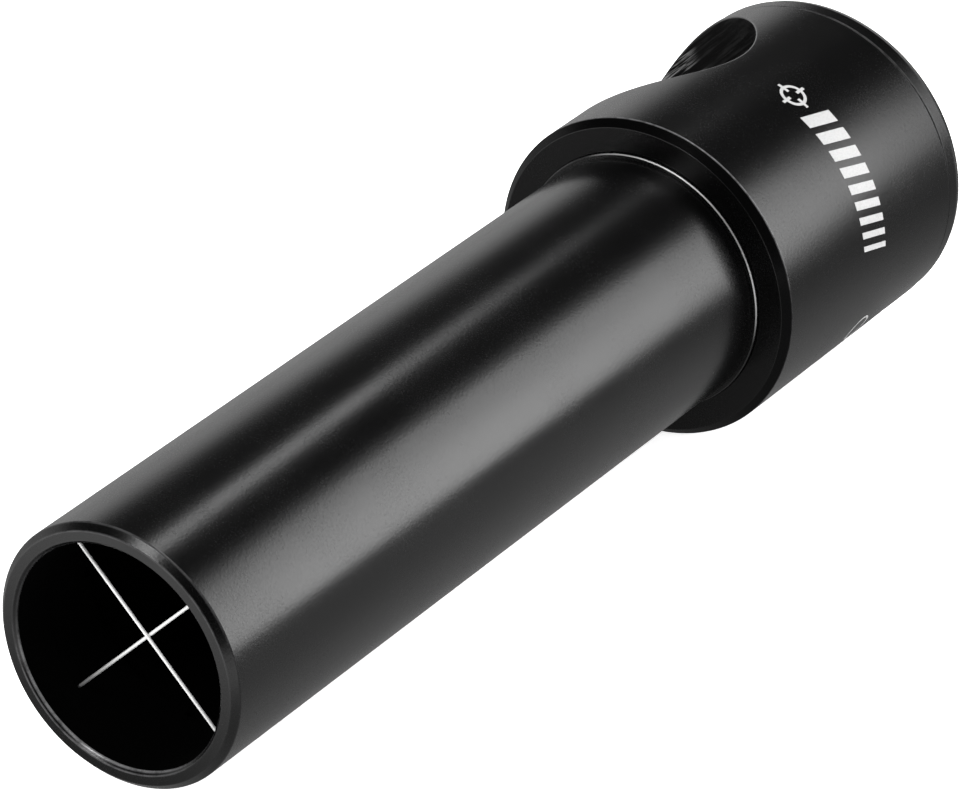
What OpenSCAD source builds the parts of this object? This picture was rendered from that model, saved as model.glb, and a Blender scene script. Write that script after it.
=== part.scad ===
// Cheshire collimating eyepiece, used to line up a telescope's mirrors. A sight barrel carries a
// crosshair just inside its open mouth. At the other end a head holds a block whose polished face
// lies at 45 degrees: a round side window lights the face, and the eye looks through a peephole
// and the hole in the middle of the face.
// The tool lies on its side: +X is the sight axis, from the eye end to the barrel's mouth, and the
// window faces up and back, midway between +Z and -Y. The origin is on the axis at the barrel's
// root, where its full diameter starts. All sizes are in millimetres.
// Each piece is drawn upright, with z measured from the eye cap's outer face along the sight axis
// and the window facing -Y, and laid_down() then puts it in place.
// Both threads of the joint are parallel V grooves, and the smaller threads are plain.

/* [Barrel] */
// Outer diameter of the barrel, to suit a 1.25 inch focuser
barrel_d = 31.75; // [31.6:0.05:31.75]
// Length from the head's shoulder to the barrel's mouth
barrel_len = 104.5; // [80:0.5:140]
// Bore of the barrel behind its front lip
barrel_bore_d = 28.6; // [28.4:0.1:29]
// Clear opening of the front lip
lip_d = 27; // [26:0.1:27.4]
// Depth of the front lip, from the mouth to the crosshair's seat
lip_depth = 5.5; // [4:0.1:8]
// Chamfer round the outside of the mouth
mouth_chamfer = 0.8; // [0.4:0.1:1]
// Chamfer round the inside of the mouth
lip_chamfer = 0.4; // [0.2:0.1:0.8]

/* [Joint between barrel and head] */
// Major diameter of the barrel's thread
joint_d = 30.9; // [30.4:0.1:31]
// Length of the thread inside the head
joint_len = 6.5; // [5:0.5:9]
// Pitch of the thread
joint_pitch = 1; // [0.75:0.25:1.25]
// Depth of the thread
joint_groove = 0.4; // [0.2:0.05:0.5]
// Outer diameter of the thin ring that the barrel's shoulder seats on
seat_ring_d = 32.8; // [32.4:0.1:36]
// How far the seat ring stands proud of the head's shoulder
seat_ring_proud = 0.5; // [0.3:0.1:1]
// Depth of the counterbore that centres the seat ring in the head
seat_ring_recess = 0.3; // [0.2:0.1:0.5]

/* [Head] */
// Outer diameter of the head
head_d = 41; // [38:0.5:46]
// Length from the eye cap's outer face to the head's shoulder
head_len = 41; // [38:0.5:50]
// Chamfer round the head's shoulder
head_chamfer = 0.95; // [0.3:0.05:1.5]
// Bore of the chamber that holds the reflector block
chamber_d = 31.2; // [31.1:0.1:32]
// Diameter of the round side window
window_d = 28; // [24:0.5:28]

/* [Eye end] */
// Diameter of the eye cap
cap_d = 40.8; // [38:0.1:41]
// Thickness of the eye cap
cap_t = 2.8; // [2.4:0.1:3]
// Length of the bevel round the eye cap's outer edge
cap_bevel_len = 0.9; // [0.3:0.1:1.2]
// How far that bevel runs in at the outer face
cap_bevel_in = 0.3; // [0.1:0.1:0.5]
// Width of the seam between the eye cap and the head
cap_seam = 0.1; // [0.05:0.05:0.3]
// Chamfer along both edges of the seam
seam_chamfer = 0.15; // [0.05:0.05:0.2]
// Distance from the eye cap's outer face to the middle of the reflector face
reflector_z = 17.9; // [17.8:0.1:18.4]
// Hole in the middle of the reflector face
sight_hole_d = 4; // [2:0.5:5]
// Diameter of the peephole
peephole_d = 1.8; // [1:0.1:2.5]
// Diameter of the dish in the eye cap
dish_d = 18; // [12:0.5:24]
// Depth of the dish
dish_depth = 0.9; // [0.4:0.1:1.2]
// Diameter of the peephole bush's head
bush_head_d = 9; // [8:0.5:11]
// Diameter of the peephole bush's threaded shank
bush_shank_d = 6; // [5:0.5:7]
// Length of the peephole bush
bush_len = 8.5; // [6:0.5:10]

/* [Crosshair] */
// Diameter of each wire
wire_d = 0.4; // [0.2:0.05:0.6]
// Length of the crosshair cell along the axis
cell_len = 5; // [4:0.5:8]
// Clear opening of the crosshair cell
cell_bore_d = 27.2; // [26:0.1:27.4]
// Length of the ring that locks the cell
lock_ring_len = 3; // [2:0.5:5]

/* [Set screws] */
// Diameter of each set screw
screw_d = 3; // [2.5:0.5:4]
// Length of each set screw
screw_len = 4; // [3:0.5:4]
// Distance across the flats of the hexagon socket
screw_socket = 1.5; // [1.3:0.1:1.6]
// Height of each set screw above the eye cap's outer face
screw_zs = [9.5, 26.5];

/* [Hidden] */

$fn = 128;
eps = 0.05;                 // how far a cutter runs past the face that it cuts
running_gap = 0.05;         // radial clearance of a fit that turns or screws
slide_gap = 0.08;           // radial clearance of the reflector block in the chamber
fit_gap = 0.02;             // radial clearance of a piece that is glued or clamped in place
tip_gap = 0.1;              // space between a set screw's tip and the reflector block

mouth_z = head_len + barrel_len;
cell_front_z = mouth_z - lip_depth;
cell_rear_z = cell_front_z - cell_len;
barrel_shoulder_z = head_len + seat_ring_proud;
seat_z = head_len - seat_ring_recess;
thread_end_z = head_len - joint_len;
head_rear_z = cap_t + cap_seam;
joint_bore_r = joint_d / 2 + running_gap;
block_r = chamber_d / 2 - slide_gap;
cell_r = barrel_bore_d / 2 - fit_gap;
wire_front_z = cell_front_z - wire_d / 2;
wire_rear_z = wire_front_z - wire_d;
wire_leg_r = (cell_r + cell_bore_d / 2) / 2;
ring_chamfer = 0.12;        // bright edge of the seat ring
wire_leg = 1.2;             // length of the bent end that sits in the cell
lock_slot_w = 1.2;          // width of a spanner slot
lock_slot_depth = 1;
bush_head_z = 0.5;          // how far the bush's head sits below the eye cap's outer face
bush_seat_z = 1.5;          // height of the face that the bush's head bears on
bush_slot_w = 0.8;
black = [0.05, 0.05, 0.055];
matt_black = [0.02, 0.02, 0.02];

// Turns a piece drawn upright into its place in the part's frame
module laid_down() {
    rotate([-45, 0, 0]) rotate([0, 90, 0]) translate([0, 0, -barrel_shoulder_z]) children();
}

// A ring with square edges
module ring(outer_r, inner_r, height) {
    difference() {
        cylinder(h = height, r = outer_r);
        translate([0, 0, -eps]) cylinder(h = height + 2 * eps, r = inner_r);
    }
}

// Cutters for parallel V grooves: tip_r is the radius of each groove's bottom, mouth_r its mouth
module thread_grooves(tip_r, mouth_r, length, pitch) {
    half = abs(mouth_r - tip_r);
    for (i = [0 : floor(length / pitch) - 1])
        translate([0, 0, (i + 0.5) * pitch])
            rotate_extrude()
                polygon([[tip_r, 0], [mouth_r, -half], [mouth_r, half]]);
}

// Wedge that leaves a 45 degree chamfer when it is cut from the top of a shaft
module top_chamfer(radius, size) {
    rotate_extrude()
        polygon([
            [radius - size - eps, eps],
            [radius + eps, -size - eps],
            [radius + eps, eps]
        ]);
}

module bottom_chamfer(radius, size) {
    mirror([0, 0, 1]) top_chamfer(radius, size);
}

// One wire along +X with both ends bent down into the cell
module crosshair_wire() {
    rotate([0, 90, 0]) cylinder(h = 2 * wire_leg_r, d = wire_d, center = true, $fn = 32);
    for (side = [-1, 1])
        translate([side * wire_leg_r, 0, 0]) {
            sphere(d = wire_d, $fn = 32);
            translate([0, 0, -wire_leg]) cylinder(h = wire_leg, d = wire_d, $fn = 32);
        }
}

// Groove and end holes that the wire beds in
module wire_seat(wire_z) {
    seat_w = wire_d + 2 * fit_gap;
    translate([-cell_r - eps, -seat_w / 2, wire_z - wire_d / 2])
        cube([2 * (cell_r + eps), seat_w, wire_d + lip_depth]);
    for (side = [-1, 1])
        translate([side * wire_leg_r, 0, wire_z - wire_leg - wire_d])
            cylinder(h = wire_leg + wire_d, d = seat_w, $fn = 32);
}

module set_screw() {
    difference() {
        cylinder(h = screw_len, d = screw_d - 2 * fit_gap, $fn = 48);
        translate([0, 0, screw_len / 2])
            cylinder(h = screw_len, d = screw_socket / cos(30), $fn = 6);
        translate([0, 0, -eps]) cylinder(h = 0.5, r1 = 0.8, r2 = 0.1, $fn = 48);
    }
}

module barrel_tube() {
    laid_down() color(black)
        difference() {
            union() {
                translate([0, 0, barrel_shoulder_z])
                    cylinder(h = mouth_z - barrel_shoulder_z, d = barrel_d);
                translate([0, 0, thread_end_z]) cylinder(h = joint_len + 1, d = joint_d);
            }
            translate([0, 0, thread_end_z - eps])
                cylinder(h = cell_front_z - thread_end_z + eps, d = barrel_bore_d);
            translate([0, 0, cell_front_z - eps]) cylinder(h = lip_depth + 2 * eps, d = lip_d);
            translate([0, 0, mouth_z - lip_chamfer])
                cylinder(h = lip_chamfer + eps, r1 = lip_d / 2, r2 = lip_d / 2 + lip_chamfer + eps);
            translate([0, 0, mouth_z]) top_chamfer(barrel_d / 2, mouth_chamfer);
            translate([0, 0, thread_end_z]) bottom_chamfer(joint_d / 2, joint_groove);
            translate([0, 0, thread_end_z])
                thread_grooves(joint_d / 2 - joint_groove, joint_d / 2 + eps, joint_len, joint_pitch);
        }
}

module barrel_seat_ring() {
    laid_down() color("silver")
        difference() {
            translate([0, 0, seat_z])
                ring(seat_ring_d / 2, joint_bore_r, barrel_shoulder_z - seat_z);
            translate([0, 0, barrel_shoulder_z]) top_chamfer(seat_ring_d / 2, ring_chamfer);
        }
}

module crosshair_cell() {
    laid_down() color(matt_black)
        difference() {
            translate([0, 0, cell_rear_z]) ring(cell_r, cell_bore_d / 2, cell_len);
            rotate([0, 0, 90]) wire_seat(wire_front_z);
            wire_seat(wire_rear_z);
        }
}

module crosshair_wire_front() {
    laid_down() color("silver") translate([0, 0, wire_front_z]) rotate([0, 0, 90]) crosshair_wire();
}

module crosshair_wire_rear() {
    laid_down() color("silver") translate([0, 0, wire_rear_z]) crosshair_wire();
}

// Drops of resin under the bent ends of the wires
module crosshair_wire_beads() {
    bead_len = wire_d - 2 * fit_gap;
    laid_down() color("saddlebrown")
        for (turn = [0 : 3])
            rotate([0, 0, 90 * turn])
                translate([wire_leg_r, 0, turn % 2 == 0 ? wire_rear_z : wire_front_z])
                    translate([0, 0, -wire_leg - bead_len - fit_gap / 2])
                        cylinder(h = bead_len, d = wire_d, $fn = 32);
}

module crosshair_lock_ring() {
    laid_down() color(matt_black)
        translate([0, 0, cell_rear_z - lock_ring_len])
            difference() {
                ring(cell_r, cell_bore_d / 2, lock_ring_len);
                for (turn = [45, 135])
                    rotate([0, 0, turn])
                        translate([-cell_r - eps, -lock_slot_w / 2, -eps])
                            cube([2 * (cell_r + eps), lock_slot_w, lock_slot_depth + eps]);
            }
}

module head_body() {
    laid_down() color(black)
        difference() {
            translate([0, 0, head_rear_z]) cylinder(h = head_len - head_rear_z, d = head_d);
            translate([0, 0, head_len]) top_chamfer(head_d / 2, head_chamfer);
            translate([0, 0, head_rear_z]) bottom_chamfer(head_d / 2, seam_chamfer);
            translate([0, 0, seat_z])
                cylinder(h = seat_ring_recess + eps, r = seat_ring_d / 2 + running_gap);
            translate([0, 0, head_rear_z - eps])
                cylinder(h = thread_end_z - head_rear_z + eps, d = chamber_d);
            translate([0, 0, thread_end_z - eps])
                cylinder(h = joint_len + 2 * eps, r = joint_bore_r);
            translate([0, 0, thread_end_z])
                thread_grooves(joint_bore_r + joint_groove, joint_bore_r - eps, joint_len, joint_pitch);
            translate([0, 0, reflector_z]) rotate([90, 0, 0]) cylinder(h = head_d, d = window_d);
            for (z = screw_zs)
                translate([0, 0, z]) rotate([-90, 0, 0]) cylinder(h = head_d, d = screw_d, $fn = 48);
        }
}

module reflector_set_screws() {
    laid_down() color("dimgray")
        for (z = screw_zs)
            translate([0, block_r + tip_gap, z]) rotate([-90, 0, 0]) set_screw();
}

module reflector_block() {
    cut = 4 * chamber_d;
    laid_down() color("gainsboro")
        difference() {
            translate([0, 0, cap_t]) cylinder(h = reflector_z + block_r - cap_t, r = block_r);
            translate([0, 0, reflector_z])
                rotate([45, 0, 0]) translate([-cut / 2, -cut / 2, 0]) cube([cut, cut, cut]);
            cylinder(h = head_len, d = sight_hole_d);
            translate([0, 0, cap_t - eps])
                cylinder(h = bush_head_z + bush_len - cap_t + eps, d = bush_shank_d);
        }
}

module peephole_bush() {
    laid_down() color(matt_black)
        difference() {
            union() {
                translate([0, 0, bush_head_z])
                    cylinder(h = bush_seat_z - bush_head_z, d = bush_head_d - 2 * running_gap);
                translate([0, 0, bush_head_z]) cylinder(h = bush_len, d = bush_shank_d - 2 * fit_gap);
            }
            cylinder(h = head_len, d = peephole_d);
            translate([0, 0, bush_seat_z + 1]) cylinder(h = bush_len, d = sight_hole_d);
            translate([-bush_head_d / 2, -bush_slot_w / 2, bush_head_z - eps])
                cube([bush_head_d / 2 - bush_shank_d / 2, bush_slot_w, 0.5 + eps]);
            translate([bush_shank_d / 2, -bush_slot_w / 2, bush_head_z - eps])
                cube([bush_head_d / 2 - bush_shank_d / 2, bush_slot_w, 0.5 + eps]);
        }
}

module eye_cap() {
    laid_down() color(black)
        difference() {
            union() {
                cylinder(h = cap_bevel_len, r1 = cap_d / 2 - cap_bevel_in, r2 = cap_d / 2);
                translate([0, 0, cap_bevel_len]) cylinder(h = cap_t - cap_bevel_len, d = cap_d);
            }
            translate([0, 0, -eps])
                cylinder(h = dish_depth + eps, r1 = dish_d / 2, r2 = dish_d / 2 - 2.5);
            cylinder(h = bush_seat_z, d = bush_head_d);
            cylinder(h = 2 * cap_t, d = bush_shank_d);
            translate([0, 0, cap_t]) top_chamfer(cap_d / 2, seam_chamfer);
        }
}

barrel_tube();
barrel_seat_ring();
crosshair_cell();
crosshair_wire_front();
crosshair_wire_rear();
crosshair_wire_beads();
crosshair_lock_ring();
head_body();
reflector_set_screws();
reflector_block();
peephole_bush();
eye_cap();
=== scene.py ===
"""Looks of the Cheshire collimating eyepiece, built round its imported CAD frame.

The tool lies along X with its open mouth at +X. Sizes are in metres.
"""

import math

import bmesh
import bpy
from mathutils import Matrix, Vector


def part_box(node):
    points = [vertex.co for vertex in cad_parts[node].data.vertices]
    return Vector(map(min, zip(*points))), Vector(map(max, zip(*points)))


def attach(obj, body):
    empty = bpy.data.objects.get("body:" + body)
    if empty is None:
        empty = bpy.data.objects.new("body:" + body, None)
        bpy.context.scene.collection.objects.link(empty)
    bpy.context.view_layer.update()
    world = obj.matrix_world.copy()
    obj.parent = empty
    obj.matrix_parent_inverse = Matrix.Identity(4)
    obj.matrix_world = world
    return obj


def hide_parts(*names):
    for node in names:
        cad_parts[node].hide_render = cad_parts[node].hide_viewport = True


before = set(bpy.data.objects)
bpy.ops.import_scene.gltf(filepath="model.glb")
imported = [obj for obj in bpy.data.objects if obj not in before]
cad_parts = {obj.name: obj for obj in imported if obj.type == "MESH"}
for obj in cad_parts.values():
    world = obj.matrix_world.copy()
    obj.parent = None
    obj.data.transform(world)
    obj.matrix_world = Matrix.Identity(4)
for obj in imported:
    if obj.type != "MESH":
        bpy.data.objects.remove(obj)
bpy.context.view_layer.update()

MM = 0.001

# ---------------------------------------------------------------- places, from the frame
HEAD_LOW, HEAD_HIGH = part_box("head_body")
BARREL_LOW, BARREL_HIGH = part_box("barrel_tube")
CAP_LOW, CAP_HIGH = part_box("eye_cap")
RING_LOW, RING_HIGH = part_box("barrel_seat_ring")

HEAD_R = 20.5 * MM
BARREL_R = 15.875 * MM
CAP_R = 20.4 * MM
RING_R = (RING_HIGH.z - RING_LOW.z) / 2
MOUTH_X = BARREL_HIGH.x
SHOULDER_X = HEAD_HIGH.x
FLOOR_Z = HEAD_LOW.z

# more sizes of the barrel and the head, as their CAD nodes have them
BORE_R = 14.3 * MM
LIP_R = 13.5 * MM
LIP_DEPTH = 5.5 * MM
LIP_CHAMFER = 0.4 * MM
MOUTH_CHAMFER = 0.8 * MM
THREAD_R = 15.45 * MM
THREAD_END_X = BARREL_LOW.x
THREAD_PITCH = 1 * MM
THREAD_TURNS = 6
GROOVE = 0.4 * MM
JOINT_BORE_R = 15.5 * MM
RING_SEAT_R = 16.45 * MM
RING_SEAT_X = RING_LOW.x
CHAMBER_R = 15.6 * MM
HEAD_CHAMFER = 0.95 * MM
SEAM_CHAMFER = 0.15 * MM
WINDOW_R = 14 * MM
WINDOW_X = CAP_LOW.x + 17.9 * MM
SCREW_XS = (CAP_LOW.x + 9.5 * MM, CAP_LOW.x + 26.5 * MM)
SCREW_R = 1.5 * MM

# the eye cap's outer face, as its CAD node has it
CAP_BEVEL = 0.9 * MM    # along the axis
CAP_BEVEL_IN = 0.3 * MM    # towards the axis
DISH_R = 9 * MM
DISH_FLOOR_R = 6.5 * MM
DISH_DEPTH = 0.9 * MM
BUSH_SEAT_R = 4.5 * MM
BUSH_SEAT_DEPTH = 1.5 * MM
BUSH_HOLE_R = 3 * MM

FINE = 0.04 * MM    # rounding of an edge that is all but sharp
WINDOW_LIP = 0.3 * MM    # rounding of the window's outer edge
LIP_STEPS = 5    # flats across it
INK_RISE = 0.02 * MM    # how far the printed ink stands proud of the head

WINDOW_DIR = Vector((0, -math.sqrt(0.5), math.sqrt(0.5)))
SIDE_DIR = Vector((0, math.sqrt(0.5), math.sqrt(0.5)))


def rim_point(angle, radius, x):
    """A point round the sight axis; angle 0 is the window's side and 90 the side above +Y."""
    turn = math.radians(angle)
    around = WINDOW_DIR * math.cos(turn) + SIDE_DIR * math.sin(turn)
    return Vector((x, 0, 0)) + around * radius


# ---------------------------------------------------------------- mesh builders
AROUND = 288    # sides of a turned piece
ROUND_STEPS = 4    # flats across a rounded edge
FINEST = 0.0001 * MM    # places closer than this share one normal


def rounded(outline):
    """Points and outward normals, in the (x, radius) plane, of an outline with rounded corners.

    outline is a list of (x, radius, round), clockwise with x to the right and radius up.
    """
    made = []
    for i, (x, r, size) in enumerate(outline):
        here = Vector((x, r))
        before = Vector(outline[i - 1][:2]) - here
        after = Vector(outline[(i + 1) % len(outline)][:2]) - here
        before.normalize()
        after.normalize()
        normal_in = Vector((before.y, -before.x))
        normal_out = Vector((-after.y, after.x))
        half = before.angle(after) / 2
        start = here + before * (size / math.tan(half))
        convex = 1 if before.x * after.y - before.y * after.x > 0 else -1
        centre = start - normal_in * (size * convex)
        for step in range(ROUND_STEPS + 1):
            normal = normal_in.lerp(normal_out, step / ROUND_STEPS).normalized()
            made.append((centre + normal * (size * convex), normal))
    return made


def add_piece(name, mesh, mat, body):
    """Puts a mesh in the scene and on its body. mat is for a mesh that has no material yet."""
    piece = bpy.data.objects.new(name, mesh)
    bpy.context.collection.objects.link(piece)
    if not mesh.materials:
        mesh.materials.append(mat)
    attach(piece, body)
    return piece


def turned_mesh(name, outline):
    """A closed ring turned about the sight axis."""
    section = rounded(outline)
    count = len(section)
    points, normals, faces = [], [], []
    for side in range(AROUND):
        out = rim_point(360 * side / AROUND, 1, 0)
        for place, normal in section:
            points.append(Vector((place.x, 0, 0)) + out * place.y)
            normals.append(Vector((normal.x, 0, 0)) + out * normal.y)
        here = side * count
        there = (side + 1) % AROUND * count
        for i in range(count):
            j = (i + 1) % count
            faces.append((here + i, here + j, there + j, there + i))
    mesh = bpy.data.meshes.new(name)
    mesh.from_pydata(points, [], faces)
    mesh.shade_smooth()
    mesh.normals_split_custom_set_from_vertices(normals)
    return mesh


def section_normal(section, known, x, r):
    """The outline's own normal at the place nearest to (x, r). known holds the answers so far."""
    key = (round(x / FINEST), round(r / FINEST))
    if key in known:
        return known[key]
    here = Vector((x, r))
    best = None
    for i, (end, end_normal) in enumerate(section):
        start, start_normal = section[i - 1]
        along = end - start
        share = 0.5
        if along.length > 0:
            share = min(1, max(0, (here - start).dot(along) / along.length_squared))
        away = (start + along * share - here).length
        if best is None or away < best[0]:
            best = (away, start_normal.lerp(end_normal, share))
    known[key] = best[1]
    return best[1]


def cut(piece, cutter):
    """Cuts one closed mesh out of a piece."""
    knife = bpy.data.objects.new("cutter", cutter)
    bpy.context.collection.objects.link(knife)
    boolean = piece.modifiers.new("cut", "BOOLEAN")
    boolean.operation = "DIFFERENCE"
    boolean.solver = "EXACT"
    boolean.object = knife
    done = piece.evaluated_get(bpy.context.evaluated_depsgraph_get())
    mesh = bpy.data.meshes.new_from_object(done)
    piece.modifiers.remove(boolean)
    piece.data = mesh
    bpy.data.objects.remove(knife)
    bpy.data.meshes.remove(cutter)


def sleeve_mesh(rows):
    """A closed solid from rows of points round it, with a flat face at each end."""
    count = len(rows[0])
    faces = [tuple(range(count))[::-1], tuple(range((len(rows) - 1) * count, len(rows) * count))]
    for k in range(len(rows) - 1):
        for i in range(count):
            j = (i + 1) % count
            faces.append((k * count + i, k * count + j, (k + 1) * count + j, (k + 1) * count + i))
    mesh = bpy.data.meshes.new("cutter")
    mesh.from_pydata([point for row in rows for point in row], [], faces)
    return mesh


# ---------------------------------------------------------------- node material helpers
class Nodes:
    """Short calls for building one material's node tree."""

    def __init__(self, name):
        self.mat = bpy.data.materials.new(name)
        self.mat.use_nodes = True
        self.tree = self.mat.node_tree
        self.bsdf = self.tree.nodes["Principled BSDF"]

    def add(self, kind, **settings):
        made = self.tree.nodes.new(kind)
        for key, value in settings.items():
            setattr(made, key, value)
        return made

    def link(self, source, target):
        self.tree.links.new(source, target)

    def feed(self, socket, value):
        if isinstance(value, bpy.types.NodeSocket):
            self.link(value, socket)
        else:
            socket.default_value = value

    def math(self, operation, first, second=None, third=None):
        made = self.add("ShaderNodeMath", operation=operation)
        for i, value in enumerate((first, second, third)):
            if value is not None:
                self.feed(made.inputs[i], value)
        return made.outputs[0]

    def ramp(self, value, low, high, to_low=0.0, to_high=1.0):
        """Smooth step from to_low to to_high while value goes from low to high."""
        made = self.add("ShaderNodeMapRange", interpolation_type="SMOOTHSTEP")
        self.feed(made.inputs["Value"], value)
        made.inputs["From Min"].default_value = low
        made.inputs["From Max"].default_value = high
        made.inputs["To Min"].default_value = to_low
        made.inputs["To Max"].default_value = to_high
        return made.outputs[0]

    def mix(self, factor, first, second):
        made = self.add("ShaderNodeMix", data_type="RGBA")
        self.feed(made.inputs["Factor"], factor)
        self.feed(made.inputs["A"], first)
        self.feed(made.inputs["B"], second)
        return made.outputs["Result"]

    def place(self):
        """Object coordinates, which are the part's own frame in metres."""
        return self.add("ShaderNodeTexCoord").outputs["Object"]

    def split(self, vector):
        made = self.add("ShaderNodeSeparateXYZ")
        self.link(vector, made.inputs[0])
        return made.outputs

    def join(self, x, y, z):
        made = self.add("ShaderNodeCombineXYZ")
        for i, value in enumerate((x, y, z)):
            self.feed(made.inputs[i], value)
        return made.outputs[0]

    def noise(self, vector, scale, detail=2.0, roughness=0.5):
        made = self.add("ShaderNodeTexNoise")
        self.link(vector, made.inputs["Vector"])
        made.inputs["Scale"].default_value = scale
        made.inputs["Detail"].default_value = detail
        made.inputs["Roughness"].default_value = roughness
        return made.outputs["Fac"]

    def bump(self, height, distance, strength=1.0, normal=None):
        made = self.add("ShaderNodeBump")
        self.link(height, made.inputs["Height"])
        made.inputs["Distance"].default_value = distance
        made.inputs["Strength"].default_value = strength
        if normal is not None:
            self.link(normal, made.inputs["Normal"])
        return made.outputs[0]

    def dot(self, vector, direction):
        made = self.add("ShaderNodeVectorMath", operation="DOT_PRODUCT")
        self.link(vector, made.inputs[0])
        made.inputs[1].default_value = direction
        return made.outputs["Value"]

    def radius(self, split):
        """Distance from the sight axis."""
        square = self.math("ADD", self.math("MULTIPLY", split[1], split[1]),
                           self.math("MULTIPLY", split[2], split[2]))
        return self.math("SQRT", square)

    def away(self, x, radius, edge_x, edge_r):
        """Distance from a ring about the sight axis."""
        return self.math("SQRT", self.math("ADD",
                         self.math("POWER", self.math("SUBTRACT", x, edge_x), 2.0),
                         self.math("POWER", self.math("SUBTRACT", radius, edge_r), 2.0)))

    def set(self, **values):
        for key, value in values.items():
            self.feed(self.bsdf.inputs[key.replace("_", " ")], value)


def edge_wear_and_glint(n, place, x, radius, edges):
    """Bare metal along the edges: partly wear, where the black is rubbed through, and partly
    painted highlight.

    edges are (x, radius, reach, share, angle) rings about the axis, kept mostly round that angle:
    the painted highlight falls on that side.
    """
    patchy = n.noise(place, 700, detail=4, roughness=0.75)
    total = 0.0
    for edge_x, edge_r, reach, share, angle in edges:
        near = n.ramp(n.away(x, radius, edge_x, edge_r), 0.0, reach, share, 0.0)
        # painted highlight: each edge's bare line is kept round its own angle, on the side where
        # light glints
        side = n.math("DIVIDE", n.dot(place, rim_point(angle, 1, 0)), radius)
        total = n.math("ADD", total, n.math("MULTIPLY", near, n.ramp(side, 0.3, 0.95, 0.1, 1.0)))
    return n.math("MULTIPLY", total, n.ramp(patchy, 0.3, 0.6, 0.3, 1.0))


# ---------------------------------------------------------------- materials
def anodised(name, edges=(), window=False, ior=1.37):
    """Satin black anodised aluminium with bare metal along its edges, partly wear and partly
    painted highlight.
    """
    n = Nodes(name)
    place = n.place()
    part = n.split(place)
    radius = n.radius(part)
    grain = n.noise(place, 5200, detail=3, roughness=0.65)
    blotch = n.noise(place, 90, detail=3)
    colour = n.mix(blotch, (0.0008, 0.0008, 0.0008, 1), (0.0014, 0.0014, 0.0015, 1))
    rough = n.math("ADD", n.ramp(grain, 0.3, 0.7, 0.19, 0.28),
                   n.ramp(blotch, 0.3, 0.7, -0.015, 0.015))
    fleck = n.noise(place, 2900, detail=1)
    normal = n.bump(fleck, 0.008 * MM, 1.0, n.bump(grain, 0.003 * MM, 0.7))
    # bare metal along the edges and round the window's lip: partly wear, partly painted highlight
    # on the side where light glints
    wear_and_glint = edge_wear_and_glint(n, place, part[0], radius, edges)
    if window:
        along, from_axis = from_window(n, place, part)
        lip = n.math("MULTIPLY", n.ramp(from_axis, WINDOW_R - 0.05 * MM, WINDOW_R + 0.12 * MM),
                     n.ramp(from_axis, WINDOW_R + 0.12 * MM, WINDOW_R + 0.34 * MM, 1.0, 0.0))
        lip = n.math("MULTIPLY", n.math("MULTIPLY", lip, n.ramp(along, 0, 1 * MM)), 0.12)
        wear_and_glint = n.math("ADD", wear_and_glint, lip)
    n.set(Base_Color=n.mix(wear_and_glint, colour, (0.55, 0.55, 0.56, 1)), Metallic=wear_and_glint,
          Roughness=rough, Normal=normal)
    n.bsdf.inputs["IOR"].default_value = ior
    return n.mat


def from_window(n, place, part):
    """Height along the window's axis and distance from it."""
    along = n.dot(place, WINDOW_DIR)
    across = n.dot(place, SIDE_DIR)
    square = n.math("ADD", n.math("POWER", n.math("SUBTRACT", part[0], WINDOW_X), 2.0),
                    n.math("MULTIPLY", across, across))
    return along, n.math("SQRT", square)


def window_wall():
    """Black wall of the window, with the marks its cutter left, painted bright only on its part
    towards -SIDE_DIR, which faces up: painted highlight.
    """
    n = Nodes("window_wall")
    place = n.place()
    part = n.split(place)
    along = n.dot(place, WINDOW_DIR)
    across = n.dot(place, SIDE_DIR)
    lines = n.join(n.math("MULTIPLY", along, 2300.0), n.math("MULTIPLY", part[0], 110.0),
                   n.math("MULTIPLY", across, 110.0))
    marks = n.noise(lines, 1.0, detail=4, roughness=0.65)
    cloud = n.noise(place, 260, detail=3)
    from_side = n.math("ADD", across, n.math("MULTIPLY", cloud, 4 * MM))
    # painted highlight: the marks are bright only where the wall faces up, beyond 4 mm towards
    # -SIDE_DIR
    lit_side_glint = n.ramp(from_side, -4 * MM, -0.5 * MM, 1.0, 0.03)
    wear_and_glint = n.math("MULTIPLY", n.ramp(marks, 0.46, 0.60), lit_side_glint)
    n.set(Base_Color=n.mix(wear_and_glint, (0.001, 0.001, 0.001, 1), (0.32, 0.32, 0.32, 1)),
          Roughness=n.ramp(marks, 0.3, 0.7, 0.38, 0.5), Normal=n.bump(marks, 0.04 * MM, 1.0))
    n.bsdf.inputs["IOR"].default_value = 1.2
    return n.mat


def matt_black():
    """Inside black that mirrors next to nothing."""
    n = Nodes("matt_black")
    place = n.place()
    grain = n.noise(place, 3000, detail=2)
    n.set(Base_Color=n.mix(grain, (0.0002, 0.0002, 0.0002, 1), (0.0008, 0.0008, 0.0008, 1)),
          Roughness=n.ramp(grain, 0.3, 0.7, 0.75, 0.9), Normal=n.bump(grain, 0.01 * MM, 0.5))
    n.bsdf.inputs["IOR"].default_value = 1.12
    return n.mat


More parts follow.
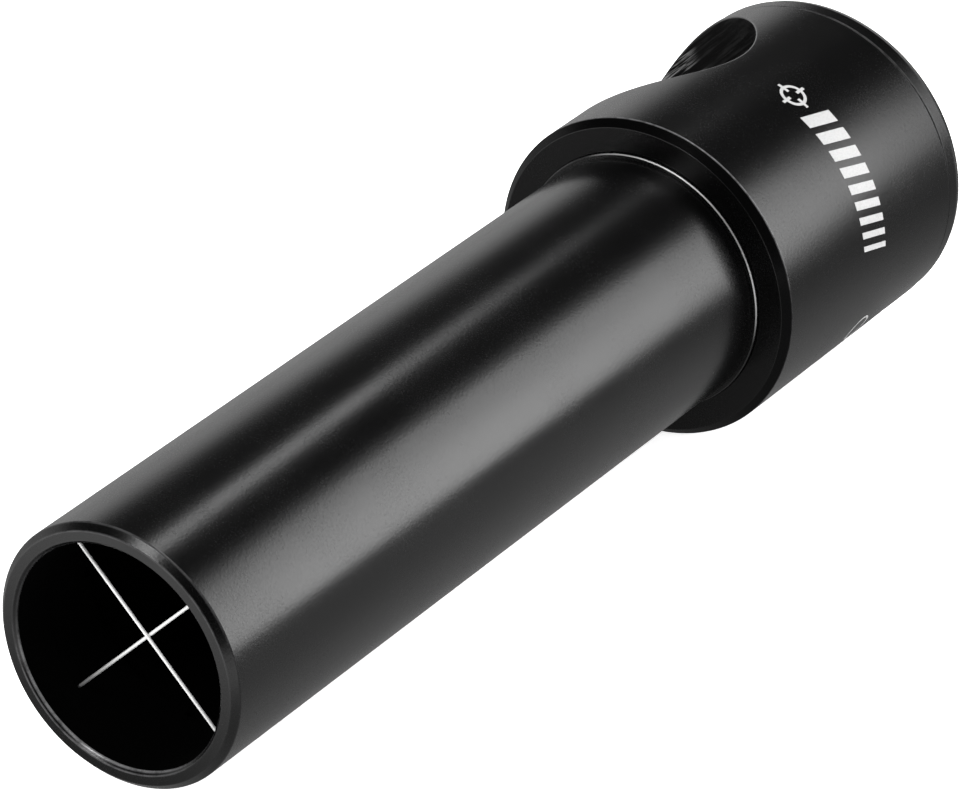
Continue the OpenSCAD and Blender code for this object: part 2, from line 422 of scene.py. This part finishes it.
def seat_ring():
    """Black ring whose front edge is bare and bright, partly wear and partly painted highlight kept
    to its upper side.
    """
    n = Nodes("seat_ring")
    place = n.place()
    part = n.split(place)
    radius = n.radius(part)
    grain = n.noise(place, 4000, detail=2)
    side = n.math("DIVIDE", n.dot(place, rim_point(82, 1, 0)), radius)
    away = n.away(part[0], radius, RING_HIGH.x, RING_R)
    # painted highlight: the bare front edge is kept to the ring's upper side, round angle 82, where
    # light glints
    wear_and_glint = n.math("MULTIPLY", n.ramp(away, 0.10 * MM, 0.16 * MM, 1.0, 0.0),
                  n.ramp(side, 0.38, 0.9, 0.0, 1.0))
    rough = n.math("ADD", n.ramp(grain, 0.3, 0.7, 0.24, 0.32), n.math("MULTIPLY", wear_and_glint, 0.2))
    n.set(Base_Color=n.mix(wear_and_glint, (0.001, 0.001, 0.001, 1), (0.75, 0.75, 0.75, 1)),
          Metallic=wear_and_glint, Roughness=rough, Normal=n.bump(grain, 0.004 * MM, 0.5))
    return n.mat


def drawn_steel(name, end_light_share=1.0):
    """Bright drawn wire. The second argument is the share of its brightness kept at the end away
    from SIDE_DIR; painted shade darkens that end.
    """
    n = Nodes(name)
    place = n.place()
    part = n.split(place)
    lengthways = n.join(n.math("MULTIPLY", part[0], 9000.0),
                        n.math("MULTIPLY", part[1], 700.0), n.math("MULTIPLY", part[2], 700.0))
    scratches = n.noise(lengthways, 1.0, detail=3)
    bright = n.mix(scratches, (0.92, 0.92, 0.92, 1), (1.0, 1.0, 0.99, 1))
    end = n.math("ADD", n.dot(place, SIDE_DIR), n.math("MULTIPLY", scratches, 3 * MM))
    # painted shade: the wire's colour darkens towards its end away from SIDE_DIR
    painted_end_shade = n.ramp(end, -LIP_R, 0, 1 - end_light_share, 0.0)
    n.set(Base_Color=n.mix(painted_end_shade, bright, (0.04, 0.04, 0.04, 1)),
          Roughness=n.ramp(scratches, 0.3, 0.7, 0.42, 0.55),
          Normal=n.bump(scratches, 0.004 * MM, 0.5))
    n.bsdf.inputs["Metallic"].default_value = 0.3
    return n.mat


def polished_reflector():
    """Mirror-polished 45 degree face on a turned rod."""
    n = Nodes("polished_reflector")
    place = n.place()
    part = n.split(place)
    axial = n.join(n.math("MULTIPLY", part[0], 5000.0), 0.0, 0.0)
    turning = n.noise(axial, 1.0, detail=3)
    polish = n.noise(place, 1400, detail=4, roughness=0.7)
    plane = n.math("ADD", n.math("SUBTRACT", part[0], WINDOW_X), n.dot(place, WINDOW_DIR))
    face = n.ramp(n.math("ABSOLUTE", plane), 0.02 * MM, 0.05 * MM, 1.0, 0.0)
    side_rough = n.ramp(turning, 0.3, 0.7, 0.28, 0.42)
    face_rough = n.ramp(polish, 0.3, 0.7, 0.07, 0.09)
    turned = n.math("MULTIPLY", turning, n.math("SUBTRACT", 1.0, face))
    rough = n.add("ShaderNodeMix", data_type="FLOAT")
    n.link(face, rough.inputs["Factor"])
    n.link(side_rough, rough.inputs["A"])
    n.link(face_rough, rough.inputs["B"])
    n.set(Base_Color=n.mix(polish, (0.80, 0.80, 0.81, 1), (0.87, 0.87, 0.88, 1)),
          Roughness=rough.outputs["Result"], Normal=n.bump(turned, 0.004 * MM, 0.3))
    n.bsdf.inputs["Metallic"].default_value = 1.0
    return n.mat


def blackened_metal(name, colour, rough):
    """Dark steel, as on screws and the bush."""
    n = Nodes(name)
    place = n.place()
    grain = n.noise(place, 2500, detail=3)
    n.set(Base_Color=n.mix(grain, (*[c * 0.7 for c in colour], 1), (*[c * 1.3 for c in colour], 1)),
          Roughness=n.ramp(grain, 0.3, 0.7, rough - 0.06, rough + 0.06),
          Normal=n.bump(grain, 0.008 * MM, 0.5))
    n.bsdf.inputs["Metallic"].default_value = 0.6
    return n.mat


def resin():
    """Amber glue on the wires' bent ends."""
    n = Nodes("wire_resin")
    cloud = n.noise(n.place(), 2500, detail=2)
    n.set(Base_Color=n.mix(cloud, (0.16, 0.07, 0.02, 1), (0.30, 0.15, 0.05, 1)),
          Roughness=n.ramp(cloud, 0.3, 0.7, 0.08, 0.16))
    return n.mat


def white_print():
    """Screen-printed white ink, a little uneven."""
    n = Nodes("white_print")
    place = n.place()
    speck = n.noise(place, 5000, detail=3, roughness=0.7)
    n.set(Base_Color=n.mix(n.ramp(speck, 0.35, 0.6), (0.33, 0.33, 0.33, 1), (0.41, 0.41, 0.41, 1)),
          Roughness=n.ramp(speck, 0.3, 0.7, 0.45, 0.6), Normal=n.bump(speck, 0.01 * MM, 0.4))
    return n.mat


def dress(node, mat):
    """Gives a CAD node its material."""
    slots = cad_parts[node].material_slots
    for s in slots:
        s.material = mat
    if not slots:
        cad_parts[node].data.materials.append(mat)


# bare edge lines of the barrel, head and cap: partly wear, partly painted highlight; the last
# number of each ring is the angle round which it shows
BARREL_MAT = anodised("barrel_anodised", edges=(
    (MOUTH_X - MOUTH_CHAMFER, BARREL_R, 0.25 * MM, 0.08, 60),
    (MOUTH_X, BARREL_R - MOUTH_CHAMFER, 0.2 * MM, 0.08, 60),
    (MOUTH_X, LIP_R + LIP_CHAMFER, 0.2 * MM, 0.15, -112),
    (MOUTH_X - LIP_CHAMFER, LIP_R, 0.35 * MM, 0.45, -112)))
HEAD_EDGES = ((HEAD_LOW.x + 0.1 * MM, HEAD_R, 0.18 * MM, 0.15, 70),
              (SHOULDER_X - HEAD_CHAMFER, HEAD_R, 0.18 * MM, 0.26, 60))
HEAD_MAT = anodised("head_anodised", window=True, edges=HEAD_EDGES)
WINDOW_WALL_MAT = window_wall()
# painted shade: the head's front chamfer gets a less reflective copy of the anodised finish, so it
# looks darker
HEAD_CHAMFER_SHADED_MAT = anodised("head_chamfer_anodised_shaded", edges=HEAD_EDGES, ior=1.15)
CAP_MAT = anodised("cap_anodised", edges=(
    (CAP_HIGH.x - 0.1 * MM, CAP_R, 0.2 * MM, 0.08, 60),
    (CAP_LOW.x + CAP_BEVEL, CAP_R, 0.25 * MM, 0.06, 150),
    (CAP_LOW.x, CAP_R - CAP_BEVEL_IN, 0.2 * MM, 0.1, 150)))
INK = white_print()
MATT = matt_black()
dress("barrel_tube", BARREL_MAT)
dress("head_body", HEAD_MAT)
dress("eye_cap", CAP_MAT)
dress("barrel_seat_ring", seat_ring())
dress("crosshair_cell", MATT)
dress("crosshair_lock_ring", MATT)
dress("crosshair_wire_front", drawn_steel("front_wire_steel"))
# the rear wire is darkened by painted shade towards its far end
dress("crosshair_wire_rear", drawn_steel("rear_wire_steel", end_light_share=0.15))
dress("crosshair_wire_beads", resin())
dress("reflector_block", polished_reflector())
dress("reflector_set_screws", blackened_metal("blackened_screw", (0.03, 0.03, 0.032), 0.35))
dress("peephole_bush", blackened_metal("blackened_bush", (0.03, 0.03, 0.03), 0.4))


# ---------------------------------------------------------------- turned pieces
def thread(x_first, radius, depth, turns, edge):
    """V grooves from x_first towards +X: depth is negative where they are cut inwards."""
    made = []
    for turn in range(turns):
        middle = x_first + (turn + 0.5) * THREAD_PITCH
        half = abs(depth)
        made += [(middle - half, radius, edge), (middle, radius + depth, edge),
                 (middle + half, radius, edge)]
    return made


def barrel_piece():
    """The sight barrel, with its lipped mouth and its threaded end, matt inside."""
    outline = [
        (THREAD_END_X, BORE_R, FINE),
        (THREAD_END_X, THREAD_R - GROOVE, FINE),
        (THREAD_END_X + 0.25 * MM, THREAD_R - 0.15 * MM, FINE / 2),
        *thread(THREAD_END_X, THREAD_R, -GROOVE, THREAD_TURNS, FINE / 2)[1:],
        (0, THREAD_R, FINE),
        (0, BARREL_R, 0.1 * MM),
        (MOUTH_X - MOUTH_CHAMFER, BARREL_R, 0.35 * MM),
        (MOUTH_X, BARREL_R - MOUTH_CHAMFER, 0.2 * MM),
        (MOUTH_X, LIP_R + LIP_CHAMFER, 0.15 * MM),
        (MOUTH_X - LIP_CHAMFER, LIP_R, 0.3 * MM),
        (MOUTH_X - LIP_DEPTH, LIP_R, FINE),
        (MOUTH_X - LIP_DEPTH, BORE_R, FINE),
    ]
    mesh = turned_mesh("sight_barrel", outline)
    mesh.materials.append(BARREL_MAT)
    mesh.materials.append(MATT)
    for face in mesh.polygons:
        in_bore = math.hypot(face.center.y, face.center.z) < BORE_R + 0.02 * MM
        face.material_index = int(in_bore and face.center.x < MOUTH_X - 0.5 * MM)
    piece = add_piece("sight_barrel", mesh, BARREL_MAT, "barrel")
    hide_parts("barrel_tube")


def window_point(turn, radius, height):
    """A point round the window's own axis, at this height above the sight axis."""
    around = Vector((1, 0, 0)) * math.cos(turn) + SIDE_DIR * math.sin(turn)
    return Vector((WINDOW_X, 0, 0)) + around * radius + WINDOW_DIR * height


def window_cutter():
    """The window's hole, widened to a rounded lip where it meets the head's curved side."""
    sides = 240
    turns = [2 * math.pi * i / sides for i in range(sides)]
    rows = [[window_point(turn, WINDOW_R, 0) for turn in turns]]
    for step in range(LIP_STEPS + 1):
        bend = math.pi / 2 * step / LIP_STEPS
        radius = WINDOW_R + WINDOW_LIP * (1 - math.cos(bend))
        drop = WINDOW_LIP * (1 - math.sin(bend))
        row = []
        for turn in turns:
            height = math.sqrt(HEAD_R ** 2 - (radius * math.sin(turn)) ** 2)
            row.append(window_point(turn, radius, height - drop))
        rows.append(row)
    rows.append([window_point(turn, WINDOW_R + WINDOW_LIP, HEAD_R * 1.2) for turn in turns])
    return sleeve_mesh(rows)


def screw_cutter(x):
    """A set screw's hole, through the back of the head."""
    sides = 48
    rows = []
    for depth in (CHAMBER_R * 0.8, HEAD_R * 1.1):
        row = []
        for i in range(sides):
            turn = 2 * math.pi * i / sides
            side = Vector((math.cos(turn), 0, 0)) - SIDE_DIR * math.sin(turn)
            row.append(Vector((x, 0, 0)) - WINDOW_DIR * depth + side * SCREW_R)
        rows.append(row)
    return sleeve_mesh(rows)


def window_distance(point):
    """How far a point is from the window's axis."""
    return (point - Vector((WINDOW_X, 0, 0)) - WINDOW_DIR * point.dot(WINDOW_DIR)).length


def head_normal(section, known, centre, point):
    """The head's true normal at a corner of the face that has this centre."""
    height = centre.dot(WINDOW_DIR)
    if height > 0 and window_distance(centre) < WINDOW_R + WINDOW_LIP * 0.98:
        own = point - Vector((WINDOW_X, 0, 0)) - WINDOW_DIR * point.dot(WINDOW_DIR)
        inward = max(0, min(1, 1 - (own.length - WINDOW_R) / WINDOW_LIP))
        radial = Vector((0, point.y, point.z)).normalized()
        return radial * math.sqrt(1 - inward * inward) - own.normalized() * inward
    for x in SCREW_XS:
        own = Vector((centre.x - x, 0, 0)) + SIDE_DIR * centre.dot(SIDE_DIR)
        if height < 0 and own.length < SCREW_R * 1.001:
            corner = Vector((point.x - x, 0, 0)) + SIDE_DIR * point.dot(SIDE_DIR)
            return -corner.normalized()
    radius = math.hypot(point.y, point.z)
    normal = section_normal(section, known, point.x, radius)
    return Vector((normal.x, normal.y * point.y / radius, normal.y * point.z / radius))


def head_piece():
    """The head, with its window and its set screws' holes cut out of a turned shell."""
    inner_thread = thread(THREAD_END_X, JOINT_BORE_R, GROOVE, THREAD_TURNS, FINE / 2)
    outline = [
        (HEAD_LOW.x, CHAMBER_R, FINE),
        (HEAD_LOW.x, HEAD_R - SEAM_CHAMFER, 0.05 * MM),
        (HEAD_LOW.x + SEAM_CHAMFER, HEAD_R, 0.1 * MM),
        (SHOULDER_X - HEAD_CHAMFER, HEAD_R, 0.25 * MM),
        (SHOULDER_X, HEAD_R - HEAD_CHAMFER, 0.2 * MM),
        (SHOULDER_X, RING_SEAT_R, 0.05 * MM),
        (RING_SEAT_X, RING_SEAT_R, FINE),
        (RING_SEAT_X, JOINT_BORE_R, FINE),
        *inner_thread[::-1],
        (THREAD_END_X, JOINT_BORE_R, FINE),
        (THREAD_END_X, CHAMBER_R, FINE),
    ]
    turned = turned_mesh("head_shell", outline)
    piece = add_piece("head_shell", turned, HEAD_MAT, "head")
    cut(piece, window_cutter())
    for x in SCREW_XS:
        cut(piece, screw_cutter(x))
    section = rounded(outline)
    mesh = piece.data
    mesh.name = "head_shell"
    mesh.materials.append(HEAD_CHAMFER_SHADED_MAT)
    mesh.materials.append(WINDOW_WALL_MAT)
    for face in mesh.polygons:
        on_window_side = face.center.dot(WINDOW_DIR) > 0
        # painted shade: the front chamfer's faces take the less reflective copy
        if SHOULDER_X - 0.9 * MM < face.center.x < SHOULDER_X - 0.04 * MM:
            face.material_index = 1
        elif on_window_side and window_distance(face.center) < WINDOW_R + 0.02 * MM:
            face.material_index = 2
    mesh.shade_smooth()
    normals, known = [], {}
    for face in mesh.polygons:
        for corner in face.vertices:
            normals.append(head_normal(section, known, face.center, mesh.vertices[corner].co))
    mesh.normals_split_custom_set(normals)
    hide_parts("head_body")


def cap_piece():
    """The eye cap, with its dish and the seat of the peephole bush."""
    face_x = CAP_LOW.x
    outline = [
        (face_x, DISH_R, 0.1 * MM),
        (face_x, CAP_R - CAP_BEVEL_IN, 0.15 * MM),
        (face_x + CAP_BEVEL, CAP_R, 0.5 * MM),
        (CAP_HIGH.x - SEAM_CHAMFER, CAP_R, 0.1 * MM),
        (CAP_HIGH.x, CAP_R - SEAM_CHAMFER, 0.05 * MM),
        (CAP_HIGH.x, BUSH_HOLE_R, FINE),
        (face_x + BUSH_SEAT_DEPTH, BUSH_HOLE_R, FINE),
        (face_x + BUSH_SEAT_DEPTH, BUSH_SEAT_R, FINE),
        (face_x + DISH_DEPTH, BUSH_SEAT_R, FINE),
        (face_x + DISH_DEPTH, DISH_FLOOR_R, 0.4 * MM),
    ]
    turned = turned_mesh("eye_cap_shell", outline)
    piece = add_piece("eye_cap_shell", turned, CAP_MAT, "eye_end")
    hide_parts("eye_cap")


# ---------------------------------------------------------------- white marks
MARKS_X = -20.6 * MM
STRIPES = 9
STRIPE_WIDTH = 1.75 * MM    # of the first one
STRIPE_THINNER = 0.13 * MM    # from one to the next
STRIPE_HEIGHT = 4.9 * MM
STRIPE_SLANT = -1.2 * MM
STRIPE_GAP = 0.95 * MM


def circle_ribbon(outer, inner, steps=72):
    """Pairs of points (round the head, along it) across a ring."""
    made = []
    for i in range(steps):
        turn = 2 * math.pi * i / steps
        across = (math.cos(turn), math.sin(turn))
        made.append([(across[0] * r, across[1] * r) for r in (outer, inner)])
    return made


def bar_ribbon(start, end, width):
    """Pairs of points across a straight bar."""
    made = []
    along = Vector(end) - Vector(start)
    side = Vector((-along.y, along.x)).normalized() * width / 2
    for share in (0, 0.25, 0.5, 0.75, 1):
        middle = Vector(start) + along * share
        made.append([tuple(middle + side), tuple(middle - side)])
    return made


def stripe_ribbon(x, width, height, slant):
    """Pairs of points across a leaning bar with level ends."""
    made = []
    for share in (0, 0.25, 0.5, 0.75, 1):
        here = x + width * share
        made.append([(here - slant / 2, -height / 2), (here + slant / 2, height / 2)])
    return made


def ink_mark(name, angle, x, rings, bars):
    """Printed ink on the head: a thin solid that follows its side. rings are closed ribbons."""
    form = bmesh.new()
    for ribbon, closed in [(r, True) for r in rings] + [(b, False) for b in bars]:
        rows = []
        for pair in ribbon:
            row = []
            for radius in (HEAD_R + INK_RISE, HEAD_R - INK_RISE):
                for around, along in pair:
                    turn = angle + math.degrees(around / HEAD_R)
                    row.append(form.verts.new(rim_point(turn, radius, x + along)))
            rows.append(row)
        for k in range(len(rows) if closed else len(rows) - 1):
            a, b = rows[k], rows[(k + 1) % len(rows)]
            form.faces.new((a[0], a[1], b[1], b[0]))
            form.faces.new((a[2], b[2], b[3], a[3]))
            form.faces.new((a[0], b[0], b[2], a[2]))
            form.faces.new((a[1], a[3], b[3], b[1]))
        if not closed:
            for end in (rows[0], rows[-1]):
                form.faces.new((end[0], end[1], end[3], end[2]))
    bmesh.ops.recalc_face_normals(form, faces=form.faces)
    mesh = bpy.data.meshes.new(name)
    form.to_mesh(mesh)
    form.free()
    add_piece(name, mesh, INK, "head")


def head_marks():
    """A sight sign followed by stripes that grow thinner, and a small ring further round."""
    ticks = []
    for turn in range(4):
        out = Vector((math.cos(turn * math.pi / 2), math.sin(turn * math.pi / 2)))
        ticks.append(bar_ribbon(out * 0.75 * MM, out * 2.3 * MM, 0.42 * MM))
    ink_mark("sight_sign", 69.5, MARKS_X, [circle_ribbon(1.75 * MM, 1.33 * MM)], ticks)
    stripes = []
    around = 0
    for i in range(STRIPES):
        width = STRIPE_WIDTH - STRIPE_THINNER * i
        stripes.append(stripe_ribbon(around, width, STRIPE_HEIGHT, STRIPE_SLANT))
        around += width + STRIPE_GAP
    ink_mark("stripes", 79, MARKS_X, [], stripes)
    ink_mark("ring_sign", 168, MARKS_X - 1.8 * MM, [circle_ribbon(2.1 * MM, 1.8 * MM)], [])


barrel_piece()
head_piece()
cap_piece()
head_marks()


# ---------------------------------------------------------------- camera
CAMERA_SIDE = Vector((0.72765, 0.48683, 0.48325)).normalized()    # from the part towards the camera
CAMERA_PLACE = Vector((0.53668, 0.33625, 0.33375))
CAMERA_LENS = 224.9


def add_camera():
    """The camera, level, at the photo's viewing angle."""
    data = bpy.data.cameras.new("camera")
    data.sensor_width = 36
    data.lens = CAMERA_LENS
    data.clip_start = 0.01
    data.clip_end = 20
    cam = bpy.data.objects.new("camera", data)
    bpy.context.collection.objects.link(cam)
    right = Vector((0, 0, 1)).cross(CAMERA_SIDE).normalized()
    up = CAMERA_SIDE.cross(right)
    turn = Matrix((right, up, CAMERA_SIDE)).transposed().to_4x4()
    cam.matrix_world = Matrix.Translation(CAMERA_PLACE) @ turn
    bpy.context.scene.camera = cam


# ---------------------------------------------------------------- studio
FLOOR_REACH = 6.0
FLOOR_GAP = 0.02 * MM    # so that the head does not cut the floor
ROOM_DIR = (0.65, 0.755, 0)    # towards the dark end of the room


def add_floor():
    """White paper. What the metal mirrors of it is darker than what the camera sees."""
    mesh = bpy.data.meshes.new("floor")
    far = FLOOR_REACH
    corners = [(-far, -far, 0), (far, -far, 0), (far, far, 0), (-far, far, 0)]
    mesh.from_pydata(corners, [], [(0, 1, 2, 3)])
    floor = bpy.data.objects.new("floor", mesh)
    floor.location.z = FLOOR_Z - FLOOR_GAP
    bpy.context.collection.objects.link(floor)
    n = Nodes("floor_paper")
    rays = n.add("ShaderNodeLightPath").outputs
    part = n.split(n.place())
    # brighter in front of the mouth and on the window's side, and glowing on the other side
    in_front = n.ramp(part[0], MOUTH_X + 5 * MM, MOUTH_X + 50 * MM, 0.0, 0.85)
    far_side = n.ramp(part[1], -0.25, -0.04, 0.25, 0.0)
    near_side = n.math("MULTIPLY", n.ramp(part[1], -0.02, 0.005, 0.0, 0.17), rays["Is Glossy Ray"])
    tone = n.math("ADD", n.math("ADD", in_front, far_side), 0.25)
    # dimmed beside the head, on the +Y side
    kept = n.math("SUBTRACT", 1.0, n.math("MULTIPLY", n.ramp(part[0], -0.09, 0.01, 0.6, 0.0),
                                          n.ramp(part[1], -0.03, 0.0)))
    tone = n.math("MULTIPLY", tone, kept)
    near_side = n.math("MULTIPLY", near_side, kept)
    glow = n.math("MULTIPLY", rays["Is Camera Ray"], 0.78)
    n.set(Base_Color=n.mix(rays["Is Glossy Ray"], (0.93, 0.93, 0.93, 1), n.join(tone, tone, tone)),
          Emission_Strength=n.math("ADD", glow, near_side))
    n.bsdf.inputs["Emission Color"].default_value = (1, 1, 1, 1)
    n.bsdf.inputs["Roughness"].default_value = 0.9
    n.bsdf.inputs["Specular IOR Level"].default_value = 0.0
    mesh.materials.append(n.mat)


def add_world(diffuse, horizon, overhead):
    """White room for the floor's own light.

    What the metal mirrors is a pale backdrop that fades upwards, with a dark room beyond +X and +Y.
    """
    world = bpy.data.worlds.new("studio")
    bpy.context.scene.world = world
    world.use_nodes = True
    tree = world.node_tree
    tree.nodes.clear()
    out = tree.nodes.new("ShaderNodeOutputWorld")
    background = tree.nodes.new("ShaderNodeBackground")
    tree.links.new(background.outputs[0], out.inputs[0])
    rays = tree.nodes.new("ShaderNodeLightPath")
    coords = tree.nodes.new("ShaderNodeTexCoord")
    split = tree.nodes.new("ShaderNodeSeparateXYZ")
    tree.links.new(coords.outputs["Generated"], split.inputs[0])
    fade = tree.nodes.new("ShaderNodeMapRange")
    fade.interpolation_type = "SMOOTHSTEP"
    tree.links.new(split.outputs["Z"], fade.inputs["Value"])
    fade_ends = (("From Min", 0.22), ("From Max", 0.42), ("To Min", horizon), ("To Max", overhead))
    for key, value in fade_ends:
        fade.inputs[key].default_value = value
    towards_room = tree.nodes.new("ShaderNodeVectorMath")
    towards_room.operation = "DOT_PRODUCT"
    tree.links.new(coords.outputs["Generated"], towards_room.inputs[0])
    towards_room.inputs[1].default_value = ROOM_DIR
    dark_room = tree.nodes.new("ShaderNodeMapRange")
    dark_room.interpolation_type = "SMOOTHSTEP"
    tree.links.new(towards_room.outputs["Value"], dark_room.inputs["Value"])
    for key, value in (("From Min", 0.45), ("From Max", 0.75), ("To Min", 1.0), ("To Max", 0.03)):
        dark_room.inputs[key].default_value = value
    seen = tree.nodes.new("ShaderNodeMath")
    seen.operation = "MULTIPLY"
    tree.links.new(fade.outputs[0], seen.inputs[0])
    tree.links.new(dark_room.outputs[0], seen.inputs[1])
    mix = tree.nodes.new("ShaderNodeMix")
    tree.links.new(rays.outputs["Is Glossy Ray"], mix.inputs["Factor"])
    mix.inputs["A"].default_value = diffuse
    tree.links.new(seen.outputs[0], mix.inputs["B"])
    tree.links.new(mix.outputs["Result"], background.inputs["Strength"])


def add_light(name, shape, location, towards, width, length, radiance, spin=0):
    """An area light, unseen by the camera.

    length lies as near along X as the light's tilt lets it, then it is spun in its own plane.
    """
    data = bpy.data.lights.new(name, "AREA")
    data.shape = shape
    data.size = width
    data.size_y = length
    area = width * length * (math.pi / 4 if shape == "ELLIPSE" else 1)
    data.energy = radiance * math.pi * area
    light = bpy.data.objects.new(name, data)
    bpy.context.collection.objects.link(light)
    back = (location - towards).normalized()
    across = back.cross(Vector((1, 0, 0))).normalized()
    turn = Matrix((across, back.cross(across), back)).transposed().to_4x4()
    spun = Matrix.Rotation(math.radians(spin), 4, "Z")
    light.matrix_world = Matrix.Translation(location) @ turn @ spun
    light.visible_camera = False


def mirrored(angle):
    """The direction that the barrel's side at this angle mirrors towards the camera."""
    normal = rim_point(angle, 1.0, 0)
    return normal * (2 * normal.dot(CAMERA_SIDE)) - CAMERA_SIDE


bpy.context.scene.view_settings.view_transform = "Standard"
add_camera()
add_floor()
add_world(diffuse=1.5, horizon=1.2, overhead=0.05)
BOX_AIM = Vector((0.078, 0, 0))
CORE_AIM = Vector((0.108, 0, 0))
STRIP_AIM = Vector((-0.0965, -0.0067, 0))
STRIP_HEIGHT = Vector((0, 0, 0.30))
MOUTH_AIM = Vector((MOUTH_X, 0, 0))
MOUTH_LIGHT_PLACE = Vector((0.345, -0.055, 0.30))
add_light("side_softbox", "ELLIPSE", BOX_AIM + mirrored(102) * 0.35, BOX_AIM, 0.30, 0.16, 4.7, -8)
add_light("softbox_core", "ELLIPSE", CORE_AIM + mirrored(107) * 0.36, CORE_AIM, 0.30, 0.08, 1.5)
add_light("softbox_spill", "ELLIPSE", BOX_AIM + mirrored(102) * 0.36, BOX_AIM, 0.40, 0.20, 0.9, -8)
add_light("top_strip", "RECTANGLE", STRIP_AIM + STRIP_HEIGHT, STRIP_AIM, 0.055, 0.37, 5.2, 22)
add_light("mouth_light", "RECTANGLE", MOUTH_LIGHT_PLACE, MOUTH_AIM, 0.10, 0.14, 12.0)
